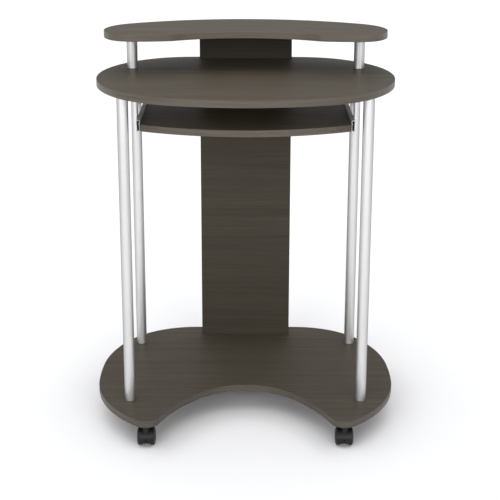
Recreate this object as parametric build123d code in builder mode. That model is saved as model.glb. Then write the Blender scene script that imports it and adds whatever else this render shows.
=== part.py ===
"""Rolling computer desk with a slide-out keyboard tray.

Millimetres.  +Z is up, the front of the desk faces -Y, and the origin is on the floor,
below the middle of the desk.  "left" and "right" are as a person sitting at it sees them.
"""
from build123d import *
import math
import os

os.makedirs("parts", exist_ok=True)

# ---------------------------------------------------------------- heights
CASTER_HEIGHT = 54
BOARD_T = 15
LEG_LENGTH = 683
POST_LENGTH = 74
KEYBOARD_CLEARANCE = 73

BASE_BOTTOM = CASTER_HEIGHT
BASE_TOP = BASE_BOTTOM + BOARD_T
DESK_BOTTOM = BASE_TOP + LEG_LENGTH
DESK_TOP = DESK_BOTTOM + BOARD_T
SHELF_BOTTOM = DESK_TOP + POST_LENGTH
TRAY_TOP = DESK_BOTTOM - KEYBOARD_CLEARANCE
TRAY_BOTTOM = TRAY_TOP - BOARD_T

# ---------------------------------------------------------------- boards
BAND_T = 1.0
BAND_ROUND = 0.6

# Half of each outline as tangent arcs, from the middle of its back edge: radius, and the
# turn in degrees, which is clockwise when positive.  One more arc closes it at the front.
DESK_BACK_Y = 253
DESK_ARCS = [(2200, 3.5), (173, 40.4), (264, 30.8), (295, 50.7), (211, 36.5)]
BASE_BACK_Y = 274.7
BASE_ARCS = [(4400, 1.7), (191, 56.8), (322, 26.5), (740, 7.9), (293, 46.2), (31.2, 110.6), (341, -26.6)]
SHELF_BACK_Y = 253
SHELF_ARCS = [(503, 31.9), (108, 88.7), (62, 60.5), (550, 7.7), (51, 20.6)]

TRAY_HALF_WIDTH = 227
TRAY_FRONT_Y = -150
TRAY_CORNER_Y = -95.3
TRAY_BACK_Y = 137
TRAY_CORNER_R = 5

PANEL_WIDTH = 217
PANEL_FRONT_Y = 225.5
PANEL_Y = PANEL_FRONT_Y + BOARD_T / 2
PANEL_BACK_Y = PANEL_FRONT_Y + BOARD_T

# ---------------------------------------------------------------- tubes
TUBE_R = 12
TUBE_BORE_R = 10.8
TUBE_END_ROUND = 0.8
LEG_X = 256
LEG_FRONT_Y = -162
LEG_REAR_Y = 168.5
POST_Y = 97
PLUG_LENGTH = 22
FIT = 0.05

LEG_SPOTS = [(x, y) for x in (-LEG_X, LEG_X) for y in (LEG_FRONT_Y, LEG_REAR_Y)]
POST_SPOTS = [(x, POST_Y) for x in (-LEG_X, LEG_X)]

# ---------------------------------------------------------------- fasteners
BOLT_R = 3.0
BOLT_HOLE_R = 3.3
BOLT_GRIP = 18
BOLT_HEAD_R = 5.3
BOLT_HEAD_H = 4.0
HEX_KEY_R = 2.2
HEX_KEY_FLOOR = 1.4
BOLT_HEAD_ROUND = 1.2
WASHER_R = 9.0
WASHER_T = 1.6
NUT_R = 5.0
NUT_LENGTH = 12
STUD_IN_BOARD = 11

DOWEL_R = 4.0
DOWEL_LENGTH = 30
DOWEL_IN_BOARD = 10
BASE_DOWEL_X = 50
DESK_DOWEL_X = 50
UPPER_DOWEL_X = 30
SHELF_DOWEL_X = 90

SCREW_X = 85
SCREW_NECK_R = 3.5
SCREW_CORE_R = 2.5
SCREW_HEAD_R = 5.0
SCREW_HEAD_H = 3.0
SCREW_LENGTH = 50
SCREW_HEAD_SINK = 0.3
SCREW_KEY_FLOOR = 0.8

CAM_R = 7.5
CAM_DEPTH = 12
CAM_INSET = 34
CAM_SEAT = 2.0
CAM_SLOT = (7.0, 1.4)
CAM_SLOT_DEPTH = 1.6
CAM_BOLT_R = 2.5
CAM_BOLT_IN_BOARD = 10
DESK_CAM_X = 90
UPPER_CAM_X = 70
SHELF_CAM_X = 50

# ---------------------------------------------------------------- tray slides
SHEET_T = 1.2
ROLLER_R = 8.0
ROLLER_RUN = 0.05
RUNNER_IN_X = TRAY_HALF_WIDTH
RUNNER_OUT_X = RUNNER_IN_X + SHEET_T
RUNNER_LIP_X = RUNNER_IN_X + 4.8
RUNNER_FOOT_X = RUNNER_IN_X - 13
RUNNER_BOTTOM = TRAY_BOTTOM - SHEET_T
RUNNER_LIP_Z = TRAY_TOP + 7.2
RUNNER_TOP = RUNNER_LIP_Z + SHEET_T
RUNNER_FRONT_Y = -93
RUNNER_BACK_Y = 155

RAIL_IN_X = RUNNER_IN_X + 2.0
RAIL_WEB_X = RUNNER_IN_X + 5.6
RAIL_OUT_X = RAIL_WEB_X + SHEET_T
RAIL_BOTTOM = TRAY_BOTTOM + 0.4
RAIL_FLOOR = RAIL_BOTTOM + SHEET_T
RAIL_CEILING = RUNNER_TOP + 0.6
RAIL_TOP = RAIL_CEILING + SHEET_T
RAIL_FRONT_Y = -98
RAIL_BACK_Y = 160
SHEET_BEND = 1.0

FRONT_ROLLER_Y = -87
FRONT_ROLLER_Z = RUNNER_LIP_Z - ROLLER_R - ROLLER_RUN
FRONT_ROLLER_X = (RUNNER_IN_X + 2.5, RUNNER_IN_X + 5.1)
REAR_ROLLER_Y = 147
REAR_ROLLER_Z = RAIL_FLOOR + ROLLER_R + ROLLER_RUN
REAR_ROLLER_X = (RUNNER_IN_X + 1.8, RUNNER_IN_X + 4.3)
ROLLER_PIN_R = 2.0
PIN_HEAD_R = 3.2
PIN_HEAD_T = 0.8
PIN_END_T = 1.2
PIN_OUTER_T = 0.4
ROLLER_EDGE = 0.5

HANGER_Y = (-61, 119)
HANGER_WIDTH = 28
HANGER_OUT_X = RAIL_OUT_X + SHEET_T
HANGER_FLANGE_X = 248
HANGER_SCREW_X = 241.5
HANGER_BOTTOM = RAIL_BOTTOM + 2.6
HANGER_HOLE_STEP = 8
HANGER_FOOT_R = 5.0
RIVET_Z = (RAIL_FLOOR + RAIL_CEILING) / 2
RIVET_R = 1.95
RIVET_HEAD_R = 3.2
RIVET_HEAD_T = 0.7
RIVET_FLUSH_T = 0.4

WOOD_SCREW_R = 1.9
WOOD_SCREW_HEAD_R = 3.6
WOOD_SCREW_HEAD_H = 2.0
WOOD_SCREW_LENGTH = 11
WOOD_SCREW_SLOT = (4.0, 0.9)
WOOD_SCREW_SLOT_DEPTH = 1.2
SCREW_SLACK = 0.3
RUNNER_SCREW_X = RUNNER_IN_X - 7
RUNNER_SCREW_Y = (-73, 17, 107)

# ---------------------------------------------------------------- casters
WHEEL_R = 20
WHEEL_INNER_X = 8.7
WHEEL_TREAD_X = 16.6
WHEEL_SHOULDER = (18.7, 16.5)
WHEEL_FACE = (19.6, 11)
WHEEL_DISH_R = 10.2
WHEEL_DISH_DEPTH = 1.0
WHEEL_HUB_R = 5.5
WHEEL_RIM_R = 16
WHEEL_HOLLOW = 5
WHEEL_EDGE = 0.8
AXLE_R = 2.0
AXLE_HALF = 14.4
AXLE_EDGE = 0.4
TRAIL = 12
HOOD_BODY_HALF = 7.9
HOOD_HALF = 16.4
HOOD_IN_R = WHEEL_R + 0.9
HOOD_OUT_R = WHEEL_R + 2.9
HOOD_LAP = 0.5
HOOD_LIP_ROUND = 0.6
HOOD_FRONT_ANGLE = 203
HOOD_REAR_ANGLE = 20
HOOD_FOOT = [(-5, -9), (6, -6)]
HOOD_NECK_R = 7.4
HOOD_NECK_STEP = 0.6
HOOD_NECK_BOTTOM = WHEEL_R + 12
HOOD_SHOULDER = CASTER_HEIGHT - 3.0
HOOD_TOP = CASTER_HEIGHT - 2.8
HOOD_EYE_R = 1.6
HOOD_EYE_FLOOR = 17
STEM_R = 4.0
STEM_COLLAR_R = 7.0
STEM_COLLAR_T = 2.6
STEM_BOTTOM = 26
STEM_IN_BOARD = 11
CASTER_NUT_R = 6.0

CASTER_SPOTS = {
    "front_left": (-215, -254),
    "front_right": (215, -254),
    "rear_left": (-190, 217),
    "rear_right": (190, 217),
}

SIDES = {"left": -1, "right": 1}


def save(part, name):
    """Label one finished piece and write its file."""
    part.label = name
    export_step(part, f"parts/{name}.step")


def board_outline(back_y, arcs, inset=0):
    """Left-right symmetric face, bounded by a smooth chain of arcs and its mirror image."""
    with BuildSketch() as outline:
        with BuildLine():
            start = Vector(0, back_y - inset)
            heading = Vector(1, 0)
            for radius, turn in arcs:
                arc = JernArc(start, heading, radius - math.copysign(inset, turn), -turn)
                start = arc @ 1
                heading = arc % 1
            toward_middle = heading.rotate(Axis.Z, 90)
            radius = -start.X / toward_middle.X
            front_y = start.Y + radius * (toward_middle.Y + 1)
            TangentArc(start, (0, front_y), tangent=heading)
            mirror(about=Plane.YZ)
        make_face()
    return outline.sketch


def tray_outline(inset=0):
    """Straight-sided tray face with a bowed front and rounded corners."""
    with BuildSketch() as outline:
        with BuildLine():
            ThreePointArc(
                (-TRAY_HALF_WIDTH, TRAY_CORNER_Y),
                (0, TRAY_FRONT_Y),
                (TRAY_HALF_WIDTH, TRAY_CORNER_Y),
            )
            Polyline(
                (TRAY_HALF_WIDTH, TRAY_CORNER_Y),
                (TRAY_HALF_WIDTH, TRAY_BACK_Y),
                (-TRAY_HALF_WIDTH, TRAY_BACK_Y),
                (-TRAY_HALF_WIDTH, TRAY_CORNER_Y),
            )
        make_face()
        fillet(outline.vertices(), TRAY_CORNER_R)
        if inset:
            offset(amount=-inset, mode=Mode.REPLACE)
    return outline.sketch


def rounds(spots, radius, bottom, top, mode=Mode.ADD):
    """Round column, or with Mode.SUBTRACT a round hole, from bottom to top at each spot."""
    with BuildSketch(Plane.XY.offset(bottom)) as circles:
        with Locations(*spots):
            Circle(radius)
    extrude(circles.sketch, amount=top - bottom, mode=mode)


def bores(spots, radius, bottom, top):
    """Cut one round hole from bottom to top at each spot."""
    rounds(spots, radius, bottom, top, mode=Mode.SUBTRACT)


def edge_band(name, full, inner, bottom):
    """Make the band around one board: the ring between its full and its inner outline."""
    with BuildPart() as band:
        with BuildSketch(Plane.XY.offset(bottom)):
            add(full)
            add(inner, mode=Mode.SUBTRACT)
        extrude(amount=BOARD_T)
        faces = band.faces().sort_by(Axis.Z)
        rims = faces[0].outer_wire().edges() + faces[-1].outer_wire().edges()
        fillet(rims, BAND_ROUND)
    save(band.part, name)


def pair(x, y):
    """Two spots, mirrored left and right."""
    return [(-x, y), (x, y)]


# ================================================================ boards
BASE_FULL = board_outline(BASE_BACK_Y, BASE_ARCS)
BASE_CORE = board_outline(BASE_BACK_Y, BASE_ARCS, BAND_T)
DESK_FULL = board_outline(DESK_BACK_Y, DESK_ARCS)
DESK_CORE = board_outline(DESK_BACK_Y, DESK_ARCS, BAND_T)
SHELF_FULL = board_outline(SHELF_BACK_Y, SHELF_ARCS)
SHELF_CORE = board_outline(SHELF_BACK_Y, SHELF_ARCS, BAND_T)
TRAY_FULL = tray_outline()
TRAY_CORE = tray_outline(BAND_T)

DOWEL_HOLE = DOWEL_IN_BOARD + 0.5
BASE_DOWELS = pair(BASE_DOWEL_X, PANEL_Y)
DESK_DOWELS = pair(DESK_DOWEL_X, PANEL_Y)
UPPER_DOWELS = pair(UPPER_DOWEL_X, PANEL_Y)
SHELF_DOWELS = pair(SHELF_DOWEL_X, PANEL_Y)
PANEL_SCREWS = pair(SCREW_X, PANEL_Y)
HANGER_HOLES_Y = [y + step for y in HANGER_Y for step in (-HANGER_HOLE_STEP, HANGER_HOLE_STEP)]
HANGER_SCREWS = [(side * HANGER_SCREW_X, y) for side in SIDES.values() for y in HANGER_HOLES_Y]
RUNNER_SCREWS = [(side * RUNNER_SCREW_X, y) for side in SIDES.values() for y in RUNNER_SCREW_Y]

with BuildPart() as base_board:
    with BuildSketch(Plane.XY.offset(BASE_BOTTOM)):
        add(BASE_CORE)
    extrude(amount=BOARD_T)
    bores(LEG_SPOTS, BOLT_HOLE_R, BASE_BOTTOM, BASE_TOP)
    bores(CASTER_SPOTS.values(), CASTER_NUT_R + FIT, BASE_BOTTOM, BASE_BOTTOM + NUT_LENGTH + 0.5)
    bores(BASE_DOWELS, DOWEL_R + FIT, BASE_TOP - DOWEL_HOLE, BASE_TOP)
    bores(PANEL_SCREWS, SCREW_NECK_R + FIT, BASE_BOTTOM, BASE_TOP)
    bores(PANEL_SCREWS, SCREW_HEAD_R + 0.1, BASE_BOTTOM, BASE_BOTTOM + SCREW_HEAD_H)
save(base_board.part, "base_board")

with BuildPart() as desktop:
    with BuildSketch(Plane.XY.offset(DESK_BOTTOM)):
        add(DESK_CORE)
    extrude(amount=BOARD_T)
    bores(LEG_SPOTS, NUT_R + FIT, DESK_BOTTOM, DESK_BOTTOM + NUT_LENGTH + 0.5)
    bores(POST_SPOTS, BOLT_HOLE_R, DESK_BOTTOM, DESK_TOP)
    bores(DESK_DOWELS, DOWEL_R + FIT, DESK_BOTTOM, DESK_BOTTOM + DOWEL_HOLE)
    bores(pair(DESK_CAM_X, PANEL_Y), CAM_BOLT_R + FIT, DESK_BOTTOM, DESK_BOTTOM + DOWEL_HOLE)
    bores(UPPER_DOWELS, DOWEL_R + FIT, DESK_TOP - DOWEL_HOLE, DESK_TOP)
    bores(pair(UPPER_CAM_X, PANEL_Y), CAM_BOLT_R + FIT, DESK_TOP - DOWEL_HOLE, DESK_TOP)
    bores(HANGER_SCREWS, WOOD_SCREW_R + FIT, DESK_BOTTOM, DESK_BOTTOM + WOOD_SCREW_LENGTH)
save(desktop.part, "desktop")

with BuildPart() as upper_shelf:
    with BuildSketch(Plane.XY.offset(SHELF_BOTTOM)):
        add(SHELF_CORE)
    extrude(amount=BOARD_T)
    bores(POST_SPOTS, NUT_R + FIT, SHELF_BOTTOM, SHELF_BOTTOM + NUT_LENGTH + 0.5)
    bores(SHELF_DOWELS, DOWEL_R + FIT, SHELF_BOTTOM, SHELF_BOTTOM + DOWEL_HOLE)
    bores(pair(SHELF_CAM_X, PANEL_Y), CAM_BOLT_R + FIT, SHELF_BOTTOM, SHELF_BOTTOM + DOWEL_HOLE)
save(upper_shelf.part, "upper_shelf")

with BuildPart() as keyboard_tray:
    with BuildSketch(Plane.XY.offset(TRAY_BOTTOM)):
        add(TRAY_CORE)
    extrude(amount=BOARD_T)
    bores(RUNNER_SCREWS, WOOD_SCREW_R + FIT, TRAY_BOTTOM, TRAY_BOTTOM + WOOD_SCREW_LENGTH)
save(keyboard_tray.part, "keyboard_tray")

edge_band("base_edge_band", BASE_FULL, BASE_CORE, BASE_BOTTOM)
edge_band("desktop_edge_band", DESK_FULL, DESK_CORE, DESK_BOTTOM)
edge_band("shelf_edge_band", SHELF_FULL, SHELF_CORE, SHELF_BOTTOM)
edge_band("tray_edge_band", TRAY_FULL, TRAY_CORE, TRAY_BOTTOM)


# ================================================================ back panels
LOWER_CAM_Z = DESK_BOTTOM - CAM_INSET
UPPER_CAM_Z = DESK_TOP + CAM_INSET
SHELF_CAM_Z = SHELF_BOTTOM - CAM_INSET
DOWEL_IN_PANEL = DOWEL_LENGTH - DOWEL_IN_BOARD
PANEL_DOWEL_HOLE = DOWEL_IN_PANEL + 0.5


def panel_blank(bottom, top):
    """Plain rectangular panel with eased long edges."""
    with BuildSketch(Plane.XY.offset(bottom)) as section:
        with Locations((0, PANEL_Y)):
            Rectangle(PANEL_WIDTH, BOARD_T)
        fillet(section.vertices(), BAND_ROUND)
    extrude(section.sketch, amount=top - bottom)


def cam_rounds(cam_x, cam_z, radius, depth, mode):
    """Round discs or pockets in the panel's back face, one on each side."""
    with BuildSketch(Plane.XZ.offset(-PANEL_BACK_Y)) as circles:
        with Locations((-cam_x, cam_z), (cam_x, cam_z)):
            Circle(radius)
    extrude(circles.sketch, amount=depth, mode=mode)


def cam_pockets(cam_x, cam_z, end_z):
    """Cut the pocket of each cam disc and the bolt hole that runs to it from the panel's end."""
    cam_rounds(cam_x, cam_z, CAM_R + FIT, CAM_DEPTH + 0.3, Mode.SUBTRACT)
    bores(pair(cam_x, PANEL_Y), CAM_BOLT_R + FIT, min(cam_z, end_z), max(cam_z, end_z))


def cam_discs(cam_x, cam_z, toward):
    """Add a pair of cam discs, each open toward the panel end that its bolt comes from."""
    cam_rounds(cam_x, cam_z, CAM_R, CAM_DEPTH, Mode.ADD)
    mouth = cam_z + toward * (CAM_R + 1)
    seat = cam_z - toward * CAM_SEAT
    bores(pair(cam_x, PANEL_Y), CAM_BOLT_R + 0.3, min(seat, mouth), max(seat, mouth))
    with BuildSketch(Plane.XZ.offset(-PANEL_BACK_Y)) as cross:
        with Locations((-cam_x, cam_z), (cam_x, cam_z)):
            Rectangle(*CAM_SLOT)
            Rectangle(*CAM_SLOT, rotation=90)
    extrude(cross.sketch, amount=CAM_SLOT_DEPTH, mode=Mode.SUBTRACT)


with BuildPart() as lower_back_panel:
    panel_blank(BASE_TOP, DESK_BOTTOM)
    bores(BASE_DOWELS, DOWEL_R + FIT, BASE_TOP, BASE_TOP + PANEL_DOWEL_HOLE)
    bores(PANEL_SCREWS, SCREW_CORE_R + FIT, BASE_TOP, BASE_BOTTOM + SCREW_LENGTH + 0.5)
    bores(DESK_DOWELS, DOWEL_R + FIT, DESK_BOTTOM - PANEL_DOWEL_HOLE, DESK_BOTTOM)
    cam_pockets(DESK_CAM_X, LOWER_CAM_Z, DESK_BOTTOM)
save(lower_back_panel.part, "lower_back_panel")

with BuildPart() as upper_back_panel:
    panel_blank(DESK_TOP, SHELF_BOTTOM)
    bores(UPPER_DOWELS, DOWEL_R + FIT, DESK_TOP, DESK_TOP + PANEL_DOWEL_HOLE)
    bores(SHELF_DOWELS, DOWEL_R + FIT, SHELF_BOTTOM - PANEL_DOWEL_HOLE, SHELF_BOTTOM)
    cam_pockets(UPPER_CAM_X, UPPER_CAM_Z, DESK_TOP)
    cam_pockets(SHELF_CAM_X, SHELF_CAM_Z, SHELF_BOTTOM)
save(upper_back_panel.part, "upper_back_panel")

with BuildPart() as panel_dowels:
    rounds(BASE_DOWELS, DOWEL_R, BASE_TOP - DOWEL_IN_BOARD, BASE_TOP + DOWEL_IN_PANEL)
    rounds(DESK_DOWELS, DOWEL_R, DESK_BOTTOM - DOWEL_IN_PANEL, DESK_BOTTOM + DOWEL_IN_BOARD)
    rounds(UPPER_DOWELS, DOWEL_R, DESK_TOP - DOWEL_IN_BOARD, DESK_TOP + DOWEL_IN_PANEL)
    rounds(SHELF_DOWELS, DOWEL_R, SHELF_BOTTOM - DOWEL_IN_PANEL, SHELF_BOTTOM + DOWEL_IN_BOARD)
    chamfer(panel_dowels.edges().filter_by(GeomType.CIRCLE), 0.8)
save(panel_dowels.part, "panel_dowels")

with BuildPart() as panel_base_screws:
    head_bottom = BASE_BOTTOM + SCREW_HEAD_SINK
    rounds(PANEL_SCREWS, SCREW_HEAD_R, head_bottom, BASE_BOTTOM + SCREW_HEAD_H)
    rounds(PANEL_SCREWS, SCREW_NECK_R, BASE_BOTTOM + SCREW_HEAD_H, BASE_TOP)
    rounds(PANEL_SCREWS, SCREW_CORE_R, BASE_TOP, BASE_BOTTOM + SCREW_LENGTH)
    with BuildSketch(Plane.XY.offset(head_bottom)):
        with Locations(*PANEL_SCREWS):
            RegularPolygon(HEX_KEY_R, 6)
    extrude(amount=SCREW_HEAD_H - SCREW_KEY_FLOOR, mode=Mode.SUBTRACT)
save(panel_base_screws.part, "panel_base_screws")

with BuildPart() as cam_lock_discs:
    cam_discs(DESK_CAM_X, LOWER_CAM_Z, 1)
    cam_discs(UPPER_CAM_X, UPPER_CAM_Z, -1)
    cam_discs(SHELF_CAM_X, SHELF_CAM_Z, 1)
save(cam_lock_discs.part, "cam_lock_discs")

with BuildPart() as cam_bolts:
    rounds(pair(DESK_CAM_X, PANEL_Y), CAM_BOLT_R, LOWER_CAM_Z, DESK_BOTTOM + CAM_BOLT_IN_BOARD)
    rounds(pair(UPPER_CAM_X, PANEL_Y), CAM_BOLT_R, DESK_TOP - CAM_BOLT_IN_BOARD, UPPER_CAM_Z)
    rounds(pair(SHELF_CAM_X, PANEL_Y), CAM_BOLT_R, SHELF_CAM_Z, SHELF_BOTTOM + CAM_BOLT_IN_BOARD)
save(cam_bolts.part, "cam_bolts")


# ================================================================ tubes and their fasteners
def tube(name, x, y, bottom, length):
    """Make one round steel tube, standing on bottom."""
    with BuildPart() as pipe:
        with BuildSketch(Plane.XY.offset(bottom)):
            with Locations((x, y)):
                Circle(TUBE_R)
                Circle(TUBE_BORE_R, mode=Mode.SUBTRACT)
        extrude(amount=length)
        rims = pipe.edges().filter_by(GeomType.CIRCLE).group_by(SortBy.RADIUS)[-1]
        fillet(rims, TUBE_END_ROUND)
    save(pipe.part, name)


for side_name, side in SIDES.items():
    tube(f"leg_front_{side_name}", side * LEG_X, LEG_FRONT_Y, BASE_TOP, LEG_LENGTH)
    tube(f"leg_rear_{side_name}", side * LEG_X, LEG_REAR_Y, BASE_TOP, LEG_LENGTH)
    tube(f"post_{side_name}", side * LEG_X, POST_Y, DESK_TOP, POST_LENGTH)

with BuildPart() as tube_end_plugs:
    for spots, low, high in (
        (LEG_SPOTS, BASE_TOP, DESK_BOTTOM),
        (POST_SPOTS, DESK_TOP, SHELF_BOTTOM),
    ):
        rounds(spots, TUBE_BORE_R - FIT, low, low + PLUG_LENGTH)
        rounds(spots, TUBE_BORE_R - FIT, high - PLUG_LENGTH, high)
        bores(spots, BOLT_R + FIT, low, low + PLUG_LENGTH)
        bores(spots, BOLT_R + FIT, high - PLUG_LENGTH, high)
save(tube_end_plugs.part, "tube_end_plugs")

with BuildPart() as tube_bolts:
    for spots, face in ((LEG_SPOTS, BASE_BOTTOM), (POST_SPOTS, DESK_BOTTOM)):
        seat = face - WASHER_T
        rounds(spots, BOLT_R, seat, face + BOARD_T + BOLT_GRIP)
        rounds(spots, BOLT_HEAD_R, seat - BOLT_HEAD_H, seat)
        with BuildSketch(Plane.XY.offset(seat - BOLT_HEAD_H)):
            with Locations(*spots):
                RegularPolygon(HEX_KEY_R, 6)
        extrude(amount=BOLT_HEAD_H - HEX_KEY_FLOOR, mode=Mode.SUBTRACT)
    rims = tube_bolts.edges().filter_by(GeomType.CIRCLE).group_by(SortBy.RADIUS)[-1]
    for low, high in ((0, BASE_TOP), (BASE_TOP, DESK_TOP)):
        head_rims = rims.filter_by_position(Axis.Z, low, high)
        fillet(head_rims.group_by(Axis.Z)[0], BOLT_HEAD_ROUND)
save(tube_bolts.part, "tube_bolts")

with BuildPart() as tube_bolt_washers:
    for spots, face in ((LEG_SPOTS, BASE_BOTTOM), (POST_SPOTS, DESK_BOTTOM)):
        rounds(spots, WASHER_R, face - WASHER_T, face)
        bores(spots, BOLT_HOLE_R, face - WASHER_T, face)
save(tube_bolt_washers.part, "tube_bolt_washers")

with BuildPart() as tube_top_studs:
    for spots, face in ((LEG_SPOTS, DESK_BOTTOM), (POST_SPOTS, SHELF_BOTTOM)):
        rounds(spots, BOLT_R, face - BOLT_GRIP, face + STUD_IN_BOARD)
save(tube_top_studs.part, "tube_top_studs")

with BuildPart() as insert_nuts:
    for spots, face in ((LEG_SPOTS, DESK_BOTTOM), (POST_SPOTS, SHELF_BOTTOM)):
        rounds(spots, NUT_R, face, face + NUT_LENGTH)
        bores(spots, BOLT_R + FIT, face, face + NUT_LENGTH)
save(insert_nuts.part, "insert_nuts")


# ================================================================ tray slides
def plate_profile(corners, bends, front, back):
    """Extrude a folded sheet section, given as its corners in X and Z, from front to back."""
    with BuildSketch(Plane.XZ.offset(-back)) as section:
        with BuildLine():
            Polyline(*corners, close=True)
        make_face()
        for corner in bends:
            fillet(section.vertices().sort_by_distance(corner)[0], SHEET_BEND)
    extrude(section.sketch, amount=back - front)


def cross_hole(spots, radius, near, far, mode=Mode.SUBTRACT):
    """Round hole or shank along X, from x=near to x=far, at each (y, z) spot."""
    low, high = min(near, far), max(near, far)
    with BuildSketch(Plane.YZ.offset(low)) as circles:
        with Locations(*spots):
            Circle(radius)
    extrude(circles.sketch, amount=high - low, mode=mode)


def fixed_rail(name, side):
    """Channel that hangs below the desktop, open toward the tray, with a stop at its back."""
    with BuildPart() as rail:
        corners = [
            (side * RAIL_IN_X, RAIL_BOTTOM),
            (side * RAIL_OUT_X, RAIL_BOTTOM),
            (side * RAIL_OUT_X, RAIL_TOP),
            (side * RAIL_IN_X, RAIL_TOP),
            (side * RAIL_IN_X, RAIL_CEILING),
            (side * RAIL_WEB_X, RAIL_CEILING),
            (side * RAIL_WEB_X, RAIL_FLOOR),
            (side * RAIL_IN_X, RAIL_FLOOR),
        ]
        plate_profile(corners, corners[1:3], RAIL_FRONT_Y, RAIL_BACK_Y)
        with BuildSketch(Plane.XZ.offset(-RAIL_BACK_Y)):
            with Locations((side * (RAIL_IN_X + RAIL_WEB_X) / 2, RIVET_Z)):
                Rectangle(RAIL_WEB_X - RAIL_IN_X, RAIL_CEILING - RAIL_FLOOR)
        extrude(amount=SHEET_T)
        web = (side * RAIL_WEB_X, side * RAIL_OUT_X)
        cross_hole([(FRONT_ROLLER_Y, FRONT_ROLLER_Z)], ROLLER_PIN_R + FIT, *web)
        cross_hole(RIVET_SPOTS, RIVET_R + FIT, *web)
    save(rail.part, name)


def hangers(name, side):
    """Pair of angle plates that hang one rail from the desktop."""
    with BuildPart() as plates:
        corners = [
            (side * RAIL_OUT_X, HANGER_BOTTOM),
            (side * HANGER_OUT_X, HANGER_BOTTOM),
            (side * HANGER_OUT_X, DESK_BOTTOM - SHEET_T),
            (side * HANGER_FLANGE_X, DESK_BOTTOM - SHEET_T),
            (side * HANGER_FLANGE_X, DESK_BOTTOM),
            (side * RAIL_OUT_X, DESK_BOTTOM),
        ]
        for y in HANGER_Y:
            plate_profile(corners, corners[-1:], y - HANGER_WIDTH / 2, y + HANGER_WIDTH / 2)
        foot_edges = plates.edges().filter_by(Axis.X).group_by(Axis.Z)[0]
        fillet(foot_edges, HANGER_FOOT_R)
        cross_hole(RIVET_SPOTS, RIVET_R + FIT, side * RAIL_OUT_X, side * HANGER_OUT_X)
        spots = [(side * HANGER_SCREW_X, y) for y in HANGER_HOLES_Y]
        bores(spots, WOOD_SCREW_R + SCREW_SLACK, DESK_BOTTOM - SHEET_T, DESK_BOTTOM)
    save(plates.part, name)


def runner(name, side):
    """Folded strip along one side of the tray: foot below the board, web beside it, lip above."""
    with BuildPart() as strip:
        corners = [
            (side * RUNNER_FOOT_X, RUNNER_BOTTOM),
            (side * RUNNER_OUT_X, RUNNER_BOTTOM),
            (side * RUNNER_OUT_X, RUNNER_LIP_Z),
            (side * RUNNER_LIP_X, RUNNER_LIP_Z),
            (side * RUNNER_LIP_X, RUNNER_TOP),
            (side * RUNNER_IN_X, RUNNER_TOP),
            (side * RUNNER_IN_X, TRAY_BOTTOM),
            (side * RUNNER_FOOT_X, TRAY_BOTTOM),
        ]
        plate_profile(corners, [corners[1], corners[5]], RUNNER_FRONT_Y, RUNNER_BACK_Y)
        spots = [(side * RUNNER_SCREW_X, y) for y in RUNNER_SCREW_Y]
        bores(spots, WOOD_SCREW_R + SCREW_SLACK, RUNNER_BOTTOM, TRAY_BOTTOM)
        web = (side * RUNNER_IN_X, side * RUNNER_OUT_X)
        cross_hole([(REAR_ROLLER_Y, REAR_ROLLER_Z)], ROLLER_PIN_R + FIT, *web)
    save(strip.part, name)


def roller(name, side, spot, span):
    """Nylon roller, turning about an axis along X."""
    with BuildPart() as wheel:
        near, far = side * span[0], side * span[1]
        cross_hole([spot], ROLLER_R, near, far, mode=Mode.ADD)
        chamfer(wheel.edges().filter_by(GeomType.CIRCLE), ROLLER_EDGE)
        cross_hole([spot], ROLLER_PIN_R + FIT, near, far)
    save(wheel.part, name)


RIVET_SPOTS = [(y, RIVET_Z) for y in HANGER_HOLES_Y]
FRONT_SPOT = (FRONT_ROLLER_Y, FRONT_ROLLER_Z)
REAR_SPOT = (REAR_ROLLER_Y, REAR_ROLLER_Z)

for side_name, side in SIDES.items():
    fixed_rail(f"rail_{side_name}", side)
    hangers(f"rail_hangers_{side_name}", side)
    runner(f"runner_{side_name}", side)
    roller(f"rail_roller_{side_name}", side, FRONT_SPOT, FRONT_ROLLER_X)
    roller(f"runner_roller_{side_name}", side, REAR_SPOT, REAR_ROLLER_X)

with BuildPart() as rail_roller_pins:
    for side in SIDES.values():
        inner = FRONT_ROLLER_X[0] - 0.3
        shank = (side * inner, side * RAIL_OUT_X)
        cross_hole([FRONT_SPOT], PIN_HEAD_R, side * (inner - PIN_HEAD_T), side * inner, mode=Mode.ADD)
        cross_hole([FRONT_SPOT], ROLLER_PIN_R, *shank, mode=Mode.ADD)
        end = (side * RAIL_OUT_X, side * (RAIL_OUT_X + PIN_END_T))
        cross_hole([FRONT_SPOT], PIN_HEAD_R, *end, mode=Mode.ADD)
save(rail_roller_pins.part, "rail_roller_pins")

with BuildPart() as runner_roller_pins:
    for side in SIDES.values():
        outer = REAR_ROLLER_X[1] + 0.2
        end = (side * (RUNNER_IN_X - PIN_END_T), side * RUNNER_IN_X)
        shank = (side * RUNNER_IN_X, side * outer)
        cross_hole([REAR_SPOT], PIN_HEAD_R, *end, mode=Mode.ADD)
        cross_hole([REAR_SPOT], ROLLER_PIN_R, *shank, mode=Mode.ADD)
        cross_hole([REAR_SPOT], PIN_HEAD_R, side * outer, side * (outer + PIN_OUTER_T), mode=Mode.ADD)
save(runner_roller_pins.part, "runner_roller_pins")

with BuildPart() as rail_rivets:
    for side in SIDES.values():
        inside = side * (RAIL_WEB_X - RIVET_FLUSH_T)
        outside = side * (HANGER_OUT_X + RIVET_HEAD_T)
        cross_hole(RIVET_SPOTS, RIVET_HEAD_R, inside, side * RAIL_WEB_X, mode=Mode.ADD)
        cross_hole(RIVET_SPOTS, RIVET_R, side * RAIL_WEB_X, side * HANGER_OUT_X, mode=Mode.ADD)
        cross_hole(RIVET_SPOTS, RIVET_HEAD_R, side * HANGER_OUT_X, outside, mode=Mode.ADD)
save(rail_rivets.part, "rail_rivets")


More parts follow.
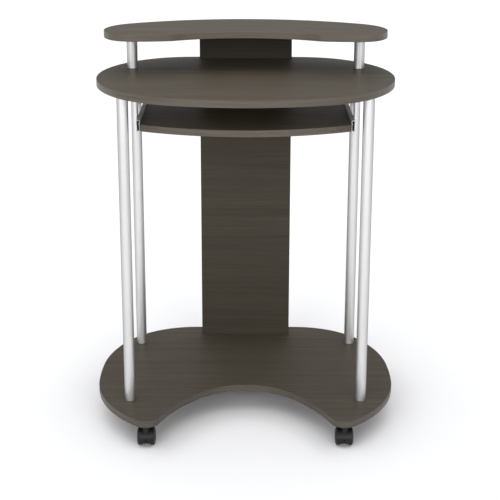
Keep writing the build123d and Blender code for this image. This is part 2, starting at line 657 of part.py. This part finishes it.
def wood_screws(spots, seat):
    """Pan-head screws driven upward, their heads below seat."""
    rounds(spots, WOOD_SCREW_HEAD_R, seat - WOOD_SCREW_HEAD_H, seat)
    rounds(spots, WOOD_SCREW_R, seat, seat + WOOD_SCREW_LENGTH)
    with BuildSketch(Plane.XY.offset(seat - WOOD_SCREW_HEAD_H)) as cross:
        with Locations(*spots):
            Rectangle(*WOOD_SCREW_SLOT)
            Rectangle(*WOOD_SCREW_SLOT, rotation=90)
    extrude(cross.sketch, amount=WOOD_SCREW_SLOT_DEPTH, mode=Mode.SUBTRACT)


with BuildPart() as hanger_screws:
    wood_screws(HANGER_SCREWS, DESK_BOTTOM - SHEET_T)
save(hanger_screws.part, "hanger_screws")

with BuildPart() as runner_screws:
    wood_screws(RUNNER_SCREWS, RUNNER_BOTTOM)
save(runner_screws.part, "runner_screws")


# ================================================================ casters
def caster_hood(name, x, y):
    """Moulded body with the neck over the stem, a cover over both treads, and a hub between."""
    axle_y = y + TRAIL
    middle_angle = (HOOD_REAR_ANGLE + HOOD_FRONT_ANGLE) / 2

    def rim(radius, angle):
        turn = math.radians(angle)
        return (axle_y + radius * math.cos(turn), WHEEL_R + radius * math.sin(turn))

    def cover_arc(radius):
        """Arc around the axle, from the rear end of the cover over the top to its front end."""
        return ThreePointArc(
            rim(radius, HOOD_REAR_ANGLE), rim(radius, middle_angle), rim(radius, HOOD_FRONT_ANGLE)
        )

    with BuildPart() as hood:
        with BuildSketch(Plane.YZ.offset(x - HOOD_HALF)):
            with BuildLine():
                cover_arc(HOOD_OUT_R)
                Line(rim(HOOD_OUT_R, HOOD_FRONT_ANGLE), rim(HOOD_IN_R, HOOD_FRONT_ANGLE))
                cover_arc(HOOD_IN_R)
                Line(rim(HOOD_IN_R, HOOD_REAR_ANGLE), rim(HOOD_OUT_R, HOOD_REAR_ANGLE))
            make_face()
        extrude(amount=2 * HOOD_HALF)
        fillet(hood.edges().filter_by(Axis.X), HOOD_LIP_ROUND)
        with BuildSketch(Plane.YZ.offset(x - HOOD_BODY_HALF)):
            with BuildLine():
                body_top = cover_arc(HOOD_IN_R + HOOD_LAP)
                foot = [(axle_y + step_y, WHEEL_R + step_z) for step_y, step_z in HOOD_FOOT]
                Polyline(body_top @ 1, *foot, body_top @ 0)
            make_face()
        extrude(amount=2 * HOOD_BODY_HALF)
        rounds([(x, y)], HOOD_NECK_R, HOOD_NECK_BOTTOM, HOOD_SHOULDER)
        rounds([(x, y)], HOOD_NECK_R - HOOD_NECK_STEP, HOOD_SHOULDER, HOOD_TOP)
        bores([(x, y)], STEM_R + FIT, STEM_BOTTOM - 1, HOOD_TOP)
        cross_hole([(axle_y, WHEEL_R)], AXLE_R + FIT, x - HOOD_BODY_HALF, x + HOOD_BODY_HALF)
        with BuildSketch(Plane.XZ.offset(HOOD_EYE_FLOOR - axle_y)):
            with Locations((x, WHEEL_R)):
                Circle(HOOD_EYE_R)
        extrude(amount=HOOD_OUT_R, mode=Mode.SUBTRACT)
    save(hood.part, name)


def caster_wheel(name, x, y, side):
    """One wheel of a twin pair: flat tread, domed outer face, blind axle bore, hollow back."""
    axle_y = y + TRAIL
    bore_end = AXLE_HALF + 0.4
    hollow_end = WHEEL_INNER_X + WHEEL_HOLLOW

    def at(offset_x, radius):
        return (x + side * offset_x, WHEEL_R + radius)

    with BuildPart() as wheel:
        with BuildSketch(Plane.XZ.offset(-axle_y)):
            with BuildLine():
                Polyline(
                    at(bore_end, 0),
                    at(bore_end, AXLE_R + FIT),
                    at(WHEEL_INNER_X, AXLE_R + FIT),
                    at(WHEEL_INNER_X, WHEEL_HUB_R),
                    at(hollow_end, WHEEL_HUB_R),
                    at(hollow_end, WHEEL_RIM_R),
                    at(WHEEL_INNER_X, WHEEL_RIM_R),
                    at(WHEEL_INNER_X, WHEEL_R - WHEEL_EDGE),
                    at(WHEEL_INNER_X + WHEEL_EDGE, WHEEL_R),
                    at(WHEEL_TREAD_X, WHEEL_R),
                )
                ThreePointArc(at(WHEEL_TREAD_X, WHEEL_R), at(*WHEEL_SHOULDER), at(*WHEEL_FACE))
                Polyline(
                    at(*WHEEL_FACE),
                    at(WHEEL_FACE[0] - WHEEL_DISH_DEPTH, WHEEL_DISH_R),
                    at(WHEEL_FACE[0] - WHEEL_DISH_DEPTH, 0),
                    at(bore_end, 0),
                )
            make_face()
        axis = Axis((x, axle_y, WHEEL_R), (1, 0, 0))
        revolve(axis=axis, revolution_arc=360)
    save(wheel.part, name)


def caster_axle(name, x, y):
    """Steel pin through the hood, carrying a wheel on each end."""
    with BuildPart() as pin:
        spot = (y + TRAIL, WHEEL_R)
        cross_hole([spot], AXLE_R, x - AXLE_HALF, x + AXLE_HALF, mode=Mode.ADD)
        chamfer(pin.edges().filter_by(GeomType.CIRCLE), AXLE_EDGE)
    save(pin.part, name)


for corner, (x, y) in CASTER_SPOTS.items():
    caster_hood(f"caster_hood_{corner}", x, y)
    caster_axle(f"caster_axle_{corner}", x, y)
    caster_wheel(f"caster_wheel_{corner}_outer", x, y, math.copysign(1, x))
    caster_wheel(f"caster_wheel_{corner}_inner", x, y, -math.copysign(1, x))

with BuildPart() as caster_stems:
    caster_spots = CASTER_SPOTS.values()
    rounds(caster_spots, STEM_R, STEM_BOTTOM, BASE_BOTTOM + STEM_IN_BOARD)
    with BuildSketch(Plane.XY.offset(BASE_BOTTOM - STEM_COLLAR_T)):
        with Locations(*caster_spots):
            RegularPolygon(STEM_COLLAR_R, 6)
    extrude(amount=STEM_COLLAR_T)
save(caster_stems.part, "caster_stems")

with BuildPart() as caster_insert_nuts:
    rounds(caster_spots, CASTER_NUT_R, BASE_BOTTOM, BASE_BOTTOM + NUT_LENGTH)
    bores(caster_spots, STEM_R + FIT, BASE_BOTTOM, BASE_BOTTOM + NUT_LENGTH)
save(caster_insert_nuts.part, "caster_insert_nuts")
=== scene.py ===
"""Looks of the rolling computer desk: its materials, floor, light and camera.

Metres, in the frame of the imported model: +Z up, the sitter's side faces -Y.
"""
import math

import bpy
from mathutils import Matrix, Vector

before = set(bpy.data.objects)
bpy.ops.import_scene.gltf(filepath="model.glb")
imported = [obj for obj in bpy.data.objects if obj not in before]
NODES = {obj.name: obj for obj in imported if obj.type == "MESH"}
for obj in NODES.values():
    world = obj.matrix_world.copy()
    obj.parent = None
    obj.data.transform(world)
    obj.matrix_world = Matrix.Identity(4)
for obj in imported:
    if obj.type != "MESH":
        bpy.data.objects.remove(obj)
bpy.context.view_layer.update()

SIDES = ("left", "right")
CORNERS = ("front_left", "front_right", "rear_left", "rear_right")

# How much lighter or darker each board's print and each edge band is made, against the plain one, to
# paint the light and shade that falls on it
BOARD_PAINTED_LIGHT_TONES = {
    "base_board": 1.05,
    "desktop": 1.18,
    "upper_shelf": 1.25,
    "keyboard_tray": 1.8,
    "lower_back_panel": 0.70,
    "upper_back_panel": 0.52,
}
# Edge band tones paint the light and shade that falls on each board's band
BAND_PAINTED_LIGHT_TONES = {
    "base_edge_band": 0.67,
    "desktop_edge_band": 0.84,
    "shelf_edge_band": 1.0,
    "tray_edge_band": 0.94,
}
BRIGHT_ZINC = 0.62
CAST_ZINC = 0.44

FLOOR_SIZE = 60
SURROUND_COLOUR = (0.955, 0.965, 1.0, 1.0)
SURROUND_STRENGTH = 0.5
# Name, direction towards the light, spread in degrees, strength
LIGHTS = (
    ("key_light_left", (-0.50, -1.0, 0.24), 38, 1.40),
    ("key_light_right", (0.45, -1.0, 0.24), 38, 1.30),
    ("top_light", (-0.1, 0.05, 1.0), 95, 1.95),
)

CAMERA_SPOT = Vector((0.0001, -2.7444, 1.2724))
CAMERA_PITCH = math.radians(16.928)
CAMERA_YAW = math.radians(-0.2075)
CAMERA_ROLL = math.radians(0.137)
CAMERA_LENS = 91.2
CAMERA_SHIFT_Y = -0.06
SENSOR_WIDTH = 36.0
CAMERA_REACH = 100


# ---------------------------------------------------------------- materials
# Places of the factor and the two colours, and of the result, on the Mix node when it mixes colours
MIX_COLOUR_INPUTS = (0, 6, 7)
MIX_COLOUR_OUTPUT = 2


def srgb(red, green, blue):
    """Linear colour of a display colour given in 0 to 255."""
    parts = [value / 255 for value in (red, green, blue)]
    return tuple(v / 12.92 if v <= 0.04045 else ((v + 0.055) / 1.055) ** 2.4 for v in parts) + (1.0,)


def toned(colour, tone):
    """Colour made lighter or darker by the factor tone."""
    return tuple(part * tone for part in colour[:3]) + (1.0,)


class Surface:
    """A material built around one Principled shader."""

    def __init__(self, name, **sockets):
        self.material = bpy.data.materials.new(name)
        self.material.use_nodes = True
        self.tree = self.material.node_tree
        self.shader = self.tree.nodes["Principled BSDF"]
        for socket, value in sockets.items():
            self.shader.inputs[socket.replace("_", " ")].default_value = value

    def node(self, kind, **settings):
        """New node with these settings."""
        made = self.tree.nodes.new(kind)
        for key, value in settings.items():
            setattr(made, key, value)
        return made

    def link(self, source, target):
        self.tree.links.new(source, target)

    def place(self, scale=(1, 1, 1), offset=(0, 0, 0)):
        """Position on the object, stretched by scale."""
        where = self.node("ShaderNodeTexCoord").outputs["Object"]
        mapping = self.node("ShaderNodeMapping")
        mapping.inputs["Location"].default_value = offset
        mapping.inputs["Scale"].default_value = scale
        self.link(where, mapping.inputs["Vector"])
        return mapping.outputs["Vector"]

    def noise(self, place, scale, detail=3.0, roughness=0.5, distortion=0.0):
        """Noise value at the place."""
        texture = self.node("ShaderNodeTexNoise")
        self.link(place, texture.inputs["Vector"])
        texture.inputs["Scale"].default_value = scale
        texture.inputs["Detail"].default_value = detail
        texture.inputs["Roughness"].default_value = roughness
        texture.inputs["Distortion"].default_value = distortion
        return texture.outputs["Fac"]

    def ramp(self, value, *stops):
        """Colour ramp through (position, colour) stops."""
        ramp = self.node("ShaderNodeValToRGB")
        self.link(value, ramp.inputs["Fac"])
        elements = ramp.color_ramp.elements
        while len(elements) < len(stops):
            elements.new(0.5)
        for element, (position, colour) in zip(elements, stops):
            element.position = position
            element.color = (*colour[:3], 1.0)
        return ramp.outputs["Color"]

    def level(self, value, low, high, out_low, out_high):
        """Value moved from low..high to out_low..out_high, and held there."""
        mapped = self.node("ShaderNodeMapRange")
        self.link(value, mapped.inputs["Value"])
        limits = {"From Min": low, "From Max": high, "To Min": out_low, "To Max": out_high}
        for socket, number in limits.items():
            mapped.inputs[socket].default_value = number
        return mapped.outputs["Result"]

    def feed(self, sockets, values):
        """Link each value to its socket where it comes from a node, and otherwise set it."""
        for socket, value in zip(sockets, values):
            if isinstance(value, bpy.types.NodeSocket):
                self.link(value, socket)
            else:
                socket.default_value = value

    def mix(self, share, first, second, blend="MIX"):
        """Colour between first and second, or second blended onto first."""
        mixed = self.node("ShaderNodeMix", data_type="RGBA", blend_type=blend)
        self.feed([mixed.inputs[index] for index in MIX_COLOUR_INPUTS], (share, first, second))
        return mixed.outputs[MIX_COLOUR_OUTPUT]

    def math(self, operation, first, second):
        """Result of a sum on two values."""
        node = self.node("ShaderNodeMath", operation=operation)
        self.feed(node.inputs[:2], (first, second))
        return node.outputs["Value"]

    def finish(self, colour=None, roughness=None, height=None, bump=0.2, depth=0.001):
        """Connect colour, roughness and bump, and return the material."""
        if colour is not None:
            self.link(colour, self.shader.inputs["Base Color"])
        if roughness is not None:
            self.link(roughness, self.shader.inputs["Roughness"])
        if height is not None:
            node = self.node("ShaderNodeBump")
            node.inputs["Strength"].default_value = bump
            node.inputs["Distance"].default_value = depth
            self.link(height, node.inputs["Height"])
            self.link(node.outputs["Normal"], self.shader.inputs["Normal"])
        return self.material


def laminate(name, offset, tone):
    """Dark grey-brown woodgrain print: soft streaks, fine lines and short pores, all along X. Made
    lighter or darker by tone, which paints the light and shade the board gets.
    """
    surface = Surface(name, Specular_IOR_Level=0.13)
    streaks = surface.noise(surface.place((1.4, 70, 70), offset), 1.0, 3.0, 0.55, 0.3)
    lines = surface.noise(surface.place((5, 330, 330), offset), 1.0, 4.0, 0.6, 0.15)
    pores = surface.noise(surface.place((34, 900, 900), offset), 1.0, 2.0, 0.5)
    wide = surface.ramp(
        streaks,
        (0.30, toned(srgb(67, 61, 52), tone)),
        (0.50, toned(srgb(71, 65, 55), tone)),
        (0.72, toned(srgb(74, 68, 58), tone)),
    )
    fine = surface.ramp(
        lines,
        (0.30, (0.80, 0.79, 0.78)),
        (0.52, (1.0, 1.0, 1.0)),
        (0.75, (1.11, 1.11, 1.10)),
    )
    grained = surface.mix(0.85, wide, fine, "MULTIPLY")
    pore = surface.level(pores, 0.60, 0.70, 0.0, 0.55)
    colour = surface.mix(pore, grained, srgb(46, 40, 35))
    roughness = surface.level(lines, 0.3, 0.7, 0.56, 0.44)
    height = surface.math("SUBTRACT", surface.math("MULTIPLY", lines, 0.6), pore)
    return surface.finish(colour, roughness, height, 0.10, 0.0004)


def edge_banding(name, tone):
    """Woodgrain edge band made lighter or darker by tone, which paints the light and shade the band gets;
    its grain runs round the edge.
    """
    surface = Surface(name, Specular_IOR_Level=0.42)
    streaks = surface.noise(surface.place((7, 7, 260)), 1.0, 3.0, 0.6, 0.3)
    lines = surface.noise(surface.place((26, 26, 1300)), 1.0, 3.0, 0.6)
    wide = surface.ramp(
        streaks,
        (0.28, toned(srgb(72, 64, 55), tone)),
        (0.50, toned(srgb(82, 74, 64), tone)),
        (0.74, toned(srgb(91, 83, 72), tone)),
    )
    fine = surface.ramp(lines, (0.32, (0.74, 0.73, 0.72)), (0.55, (1.0, 1.0, 1.0)))
    colour = surface.mix(0.8, wide, fine, "MULTIPLY")
    roughness = surface.level(streaks, 0.3, 0.7, 0.50, 0.40)
    return surface.finish(colour, roughness, lines, 0.08, 0.0003)


def silver_coat(name):
    """Satin silver powder coat with a faint orange peel and a little handling haze."""
    surface = Surface(name, Metallic=1.0, Specular_Tint=(0.0, 0.0, 0.0, 1.0))
    haze = surface.noise(surface.place((30, 30, 6)), 1.0, 4.0, 0.55, 0.4)
    peel = surface.noise(surface.place(), 700, 2.0, 0.5)
    flake = surface.noise(surface.place(), 5200, 1.0, 0.5)
    soft = surface.ramp(haze, (0.3, (0.58, 0.58, 0.575)), (0.7, (0.62, 0.62, 0.615)))
    colour = surface.mix(surface.level(flake, 0.55, 0.75, 0.0, 0.35), soft, (0.82, 0.82, 0.83, 1.0))
    roughness = surface.level(haze, 0.3, 0.7, 0.41, 0.47)
    return surface.finish(colour, roughness, peel, 0.05, 0.0003)


def zinc(name, tone):
    """Bright zinc plate with blotchy passivation and fine turning marks."""
    surface = Surface(name, Metallic=1.0)
    blotch = surface.noise(surface.place(), 90, 5.0, 0.6, 0.5)
    marks = surface.noise(surface.place((400, 400, 2600)), 1.0, 2.0, 0.5)
    colour = surface.ramp(
        blotch,
        (0.3, (tone * 0.82, tone * 0.83, tone * 0.80)),
        (0.6, (tone, tone, tone * 1.02)),
    )
    roughness = surface.level(blotch, 0.3, 0.7, 0.34, 0.22)
    return surface.finish(colour, roughness, marks, 0.12, 0.0002)


def slide_coat(name):
    """Grey epoxy coat on folded sheet, rubbed brighter in streaks along the slide."""
    surface = Surface(name, Metallic=0.35, Specular_IOR_Level=0.5)
    cloud = surface.noise(surface.place(), 60, 4.0, 0.55)
    rub = surface.noise(surface.place((500, 4, 500)), 1.0, 3.0, 0.6)
    soft = surface.ramp(cloud, (0.3, srgb(188, 188, 186)), (0.7, srgb(202, 202, 200)))
    colour = surface.mix(surface.level(rub, 0.58, 0.72, 0.0, 0.4), soft, srgb(222, 222, 220))
    roughness = surface.level(rub, 0.4, 0.7, 0.48, 0.33)
    peel = surface.noise(surface.place(), 900, 2.0, 0.5)
    return surface.finish(colour, roughness, peel, 0.07, 0.0003)


def moulded(name, dark, light, scale, low_rough, high_rough, bump):
    """Moulded black plastic with spark texture, faint flow marks and lighter specks of dust."""
    surface = Surface(name, Specular_IOR_Level=0.25)
    flow = surface.noise(surface.place(), scale, 4.0, 0.55, 0.6)
    spark = surface.noise(surface.place(), 2600, 2.0, 0.6)
    base = surface.ramp(flow, (0.3, dark), (0.7, light))
    colour = surface.mix(surface.level(spark, 0.6, 0.8, 0.0, 0.25), base, (0.10, 0.10, 0.10, 1.0))
    roughness = surface.level(flow, 0.3, 0.7, low_rough, high_rough)
    return surface.finish(colour, roughness, spark, bump, 0.0003)


def tread_plastic(name):
    """Wheel plastic: smooth black with scuffs running round the tread and floor dust."""
    surface = Surface(name, Specular_IOR_Level=0.3)
    scuff = surface.noise(surface.place((1500, 90, 90)), 1.0, 3.0, 0.6)
    dust = surface.noise(surface.place(), 240, 5.0, 0.65, 0.8)
    base = surface.ramp(scuff, (0.35, srgb(18, 17, 17)), (0.7, srgb(28, 27, 27)))
    colour = surface.mix(surface.level(dust, 0.58, 0.74, 0.0, 0.25), base, srgb(60, 58, 56))
    roughness = surface.level(scuff, 0.3, 0.7, 0.36, 0.5)
    return surface.finish(colour, roughness, scuff, 0.12, 0.0003)


def beech(name):
    """Plain beech with its grain and short flecks along the dowel."""
    surface = Surface(name, Specular_IOR_Level=0.3)
    grain = surface.noise(surface.place((320, 320, 16)), 1.0, 3.0, 0.6)
    fleck = surface.noise(surface.place((900, 900, 90)), 1.0, 2.0, 0.5)
    base = surface.ramp(grain, (0.3, srgb(186, 150, 108)), (0.7, srgb(212, 180, 138)))
    colour = surface.mix(surface.level(fleck, 0.6, 0.7, 0.0, 0.5), base, srgb(150, 112, 76))
    return surface.finish(colour, surface.level(grain, 0.3, 0.7, 0.62, 0.5), grain, 0.15, 0.0003)


def coat(material, *nodes):
    """Give CAD nodes this material in place of their plain one."""
    for name in nodes:
        slots = NODES[name].material_slots
        for slot in slots:
            slot.material = material
        if not slots:
            NODES[name].data.materials.append(material)


def dress_nodes():
    """Put a finished material on every CAD node."""
    # Each board gets its own laminate copy, lighter or darker by its tone to paint the light and shade it
    # gets
    for index, (name, tone) in enumerate(BOARD_PAINTED_LIGHT_TONES.items()):
        coat(laminate(f"laminate_{name}", (0.31 * index, 1.7 * index, 2.3 * index), tone), name)
    # Each band gets its own copy, lighter or darker by its tone to paint the light and shade it gets
    for name, tone in BAND_PAINTED_LIGHT_TONES.items():
        coat(edge_banding(f"banding_{name}", tone), name)
    tubes = [f"leg_{end}_{side}" for end in ("front", "rear") for side in SIDES]
    coat(silver_coat("silver_powder_coat"), *tubes, "post_left", "post_right")
    bright = zinc("zinc_plate", BRIGHT_ZINC)
    coat(
        bright,
        "tube_bolts", "tube_bolt_washers", "tube_top_studs", "insert_nuts", "panel_base_screws",
        "hanger_screws", "runner_screws", "rail_rivets", "rail_roller_pins", "runner_roller_pins",
        "caster_insert_nuts", "caster_stems",
    )
    coat(bright, *[f"caster_axle_{corner}" for corner in CORNERS])
    coat(zinc("die_cast_zinc", CAST_ZINC), "cam_bolts", "cam_lock_discs")
    coat(beech("beech"), "panel_dowels")
    sheet = [f"{part}_{side}" for part in ("rail", "runner", "rail_hangers") for side in SIDES]
    coat(slide_coat("slide_epoxy"), *sheet)
    rollers = [f"{part}_roller_{side}" for part in ("rail", "runner") for side in SIDES]
    nylon = moulded("roller_nylon", srgb(20, 20, 20), srgb(34, 34, 34), 300, 0.34, 0.46, 0.05)
    coat(nylon, *rollers)
    plug = moulded("plug_plastic", srgb(16, 16, 16), srgb(28, 28, 28), 200, 0.45, 0.6, 0.10)
    coat(plug, "tube_end_plugs")
    hood = moulded("caster_hood_plastic", srgb(15, 14, 14), srgb(24, 23, 22), 130, 0.30, 0.40, 0.08)
    coat(hood, *[f"caster_hood_{corner}" for corner in CORNERS])
    wheel = tread_plastic("caster_tread_plastic")
    coat(wheel, *[f"caster_wheel_{corner}_{which}" for corner in CORNERS for which in ("outer", "inner")])


# ---------------------------------------------------------------- studio
def studio_floor():
    """Large plain pale floor with the faintest unevenness."""
    bpy.ops.mesh.primitive_plane_add(size=FLOOR_SIZE, location=(0, 0, 0))
    floor = bpy.context.object
    floor.name = "studio_floor"
    surface = Surface("studio_paper", Specular_IOR_Level=0.2)
    cloud = surface.noise(surface.place(), 0.6, 2.0, 0.5)
    colour = surface.ramp(cloud, (0.3, (0.87, 0.87, 0.875)), (0.7, (0.89, 0.89, 0.895)))
    floor.data.materials.append(surface.finish(colour, surface.level(cloud, 0.3, 0.7, 0.85, 0.9)))


def broad_sun(name, toward, spread, strength):
    """Even light from the direction toward, soft like a big window of this spread in degrees."""
    light = bpy.data.lights.new(name, "SUN")
    light.angle = math.radians(spread)
    light.energy = strength
    lamp = bpy.data.objects.new(name, light)
    lamp.rotation_euler = Vector(toward).to_track_quat("Z", "Y").to_euler()
    bpy.context.scene.collection.objects.link(lamp)


def lighting():
    """Two low key lights from the front, a broad one from overhead and a pale surround."""
    for name, toward, spread, strength in LIGHTS:
        broad_sun(name, toward, spread, strength)
    world = bpy.data.worlds.new("studio_surround")
    world.use_nodes = True
    background = world.node_tree.nodes["Background"]
    background.inputs["Color"].default_value = SURROUND_COLOUR
    background.inputs["Strength"].default_value = SURROUND_STRENGTH
    bpy.context.scene.world = world


def camera():
    """Camera in front of the desk, above it, looking slightly down."""
    data = bpy.data.cameras.new("photo_camera")
    data.lens = CAMERA_LENS
    data.sensor_width = SENSOR_WIDTH
    data.shift_y = CAMERA_SHIFT_Y
    data.clip_end = CAMERA_REACH
    turn = (
        Matrix.Rotation(CAMERA_YAW, 4, "Z")
        @ Matrix.Rotation(math.pi / 2 - CAMERA_PITCH, 4, "X")
        @ Matrix.Rotation(CAMERA_ROLL, 4, "Z")
    )
    viewer = bpy.data.objects.new("photo_camera", data)
    viewer.matrix_world = Matrix.Translation(CAMERA_SPOT) @ turn
    bpy.context.scene.collection.objects.link(viewer)
    bpy.context.scene.camera = viewer


dress_nodes()
studio_floor()
lighting()
camera()
bpy.context.scene.view_settings.view_transform = "Standard"
